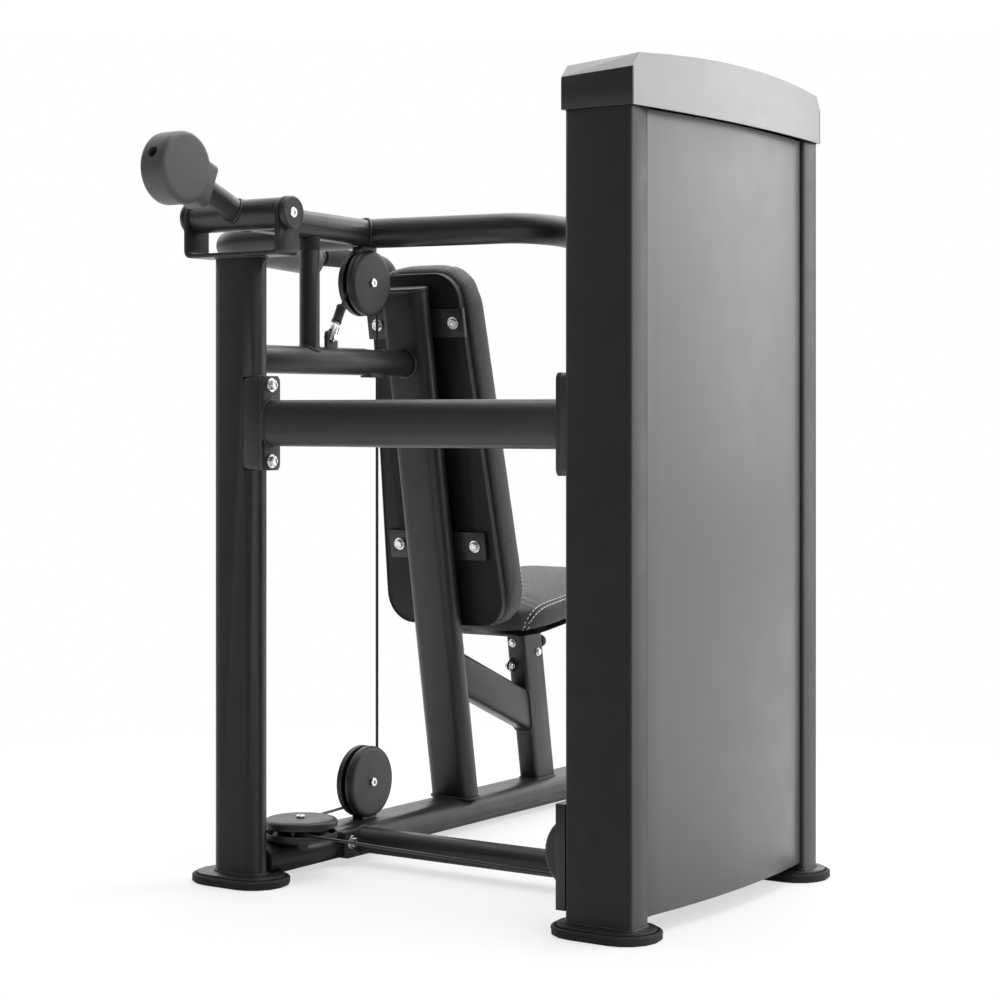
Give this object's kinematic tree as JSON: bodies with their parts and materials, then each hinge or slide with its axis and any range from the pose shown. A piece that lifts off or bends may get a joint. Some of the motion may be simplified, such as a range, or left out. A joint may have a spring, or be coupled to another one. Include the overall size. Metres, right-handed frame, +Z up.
{
  "type": "shoulder press machine",
  "caption": "Seated shoulder press machine: leaning seat and back pad, pivoting press arm with counterweight, cable over pulleys to a guided weight stack in a covered tower.",
  "frame": {"origin": "middle of the footprint, on the floor", "axes": "+Z up, +Y the way the seated user faces, +X towards the weight tower on the user's right"},
  "size_m": [1.458, 1.5406, 1.512],
  "materials": {
    "frame_paint": "satin charcoal powder coat",
    "panel_paint": "satin graphite",
    "cap_silver": "silver grey satin",
    "zinc": "bright zinc plate",
    "steel": "brushed",
    "rubber": "matt black",
    "plastic": "fine moulded grain",
    "leather": "black grained artificial leather",
    "iron": "black paint on cast iron",
    "cable_jacket": "black nylon jacket"
  },
  "bodies": {
    "frame": {"rear_column": "frame_paint", "pivot_yoke": "frame_paint", "pivot_shaft": "zinc", "pivot_cap_left": "plastic", "pivot_cap_right": "plastic", "main_beam": "frame_paint", "base_cross_tube": "frame_paint", "upper_cross_beam": "frame_paint", "back_upright": "frame_paint", "strut": "frame_paint", "stop_bumper": "rubber", "seat_brace": "frame_paint", "seat_post": "frame_paint", "seat_post_collar": "plastic", "tower_rear_post": "frame_paint", "tower_front_post": "frame_paint", "tower_base_beam": "frame_paint", "tower_head_beam": "frame_paint", "guide_rod_rear": "zinc", "guide_rod_front": "zinc", "stack_cushion": "rubber", "resting_weight_plates": "iron", "outer_panel": "panel_paint", "inner_cover": "frame_paint", "cap_hood": "cap_silver", "cap_liner": "frame_paint", "rubber_foot_column": "rubber", "rubber_foot_front": "rubber", "rubber_foot_tower_rear": "rubber", "rubber_foot_tower_front": "rubber", "back_board": "plastic", "back_pad": "leather", "base_pulley_cover": "plastic", "flat_pulley_cover": "plastic", "tower_pulley_cover": "plastic", "cable_end_fitting": "zinc", "cable_end_strand": "cable_jacket", "cable_down_strand": "cable_jacket", "cable_base_run": "cable_jacket", "cable_stack_strand": "cable_jacket"},
    "press_arm": {"press_pivot_tube": "frame_paint", "press_neck_tube": "frame_paint", "press_bow": "frame_paint", "left_hand_grip": "rubber", "right_hand_grip": "rubber", "counterweight": "iron", "top_pulley_cover": "plastic", "cable_top_wrap": "cable_jacket"},
    "top_wheel": {"top_sheave": "plastic"},
    "base_wheel": {"base_upright_sheave": "plastic"},
    "flat_wheel": {"base_flat_sheave": "plastic"},
    "tower_wheel": {"tower_lower_sheave": "plastic"},
    "rear_head_wheel": {"tower_rear_head_sheave": "plastic"},
    "front_head_wheel": {"tower_front_head_sheave": "plastic"},
    "stack": {"lifted_weight_plates": "iron", "selector_stem": "steel"},
    "stack_pin": {"selector_pin": "plastic"},
    "seat": {"seat_carrier": "steel", "seat_pad": "leather"},
    "seat_lock": {"seat_lock_knob": "plastic"}
  },
  "joints": [
    {"name": "press_arm_hinge", "type": "hinge", "parent": "frame", "child": "press_arm", "pos_m": [-0.184, -0.51971, 1.266], "axis": [1, 0, 0], "range_deg": [0, 48], "deforming": ["cable_end_strand", "cable_down_strand"]},
    {"name": "stack_slide", "type": "slide", "parent": "frame", "child": "stack", "axis": [0, 0, 1], "range_m": [0, 0.632], "deforming": ["cable_stack_strand"]},
    {"name": "top_wheel_spin", "type": "hinge", "parent": "press_arm", "child": "top_wheel", "pos_m": [-0.184, -0.13471, 1.155], "axis": [1, 0, 0], "range_deg": [0, 386]},
    {"name": "base_wheel_spin", "type": "hinge", "parent": "frame", "child": "base_wheel", "pos_m": [-0.184, -0.13471, 0.142], "axis": [1, 0, 0], "range_deg": [0, 862]},
    {"name": "flat_wheel_spin", "type": "hinge", "parent": "frame", "child": "flat_wheel", "pos_m": [-0.134, -0.40171, 0.09], "axis": [0, 0, 1], "range_deg": [-722, 0]},
    {"name": "tower_wheel_spin", "type": "hinge", "parent": "frame", "child": "tower_wheel", "pos_m": [0.538, -0.45171, 0.121], "axis": [0, 1, 0], "range_deg": [0, 804]},
    {"name": "rear_head_wheel_spin", "type": "hinge", "parent": "frame", "child": "rear_head_wheel", "pos_m": [0.59202, -0.40253, 1.385], "axis": [0.9836, -0.1805, 0], "range_deg": [0, 722]},
    {"name": "front_head_wheel_spin", "type": "hinge", "parent": "frame", "child": "front_head_wheel", "pos_m": [0.61998, -0.25019, 1.385], "axis": [0.9836, -0.1805, 0], "range_deg": [0, 722]},
    {"name": "stack_pin_slide", "type": "slide", "parent": "stack", "child": "stack_pin", "axis": [-1, 0, 0], "range_m": [0, 0.11]},
    {"name": "seat_slide", "type": "slide", "parent": "frame", "child": "seat", "axis": [0, -0.1676, 0.9859], "range_m": [0, 0.14]},
    {"name": "seat_lock_slide", "type": "slide", "parent": "frame", "child": "seat_lock", "axis": [0, 0.9859, 0.1676], "range_m": [0, 0.012], "stiffness_N_per_m": 500, "springref_m": -0.01}
  ],
  "couplings": [
    {"joint": "stack_slide", "follows": "press_arm_hinge", "m_per_rad": 0.75},
    {"joint": "top_wheel_spin", "follows": "press_arm_hinge", "ratio": 8},
    {"joint": "base_wheel_spin", "follows": "press_arm_hinge", "ratio": 17.9},
    {"joint": "flat_wheel_spin", "follows": "press_arm_hinge", "ratio": -15},
    {"joint": "tower_wheel_spin", "follows": "press_arm_hinge", "ratio": 16.7},
    {"joint": "rear_head_wheel_spin", "follows": "press_arm_hinge", "ratio": 15},
    {"joint": "front_head_wheel_spin", "follows": "press_arm_hinge", "ratio": 15}
  ]
}
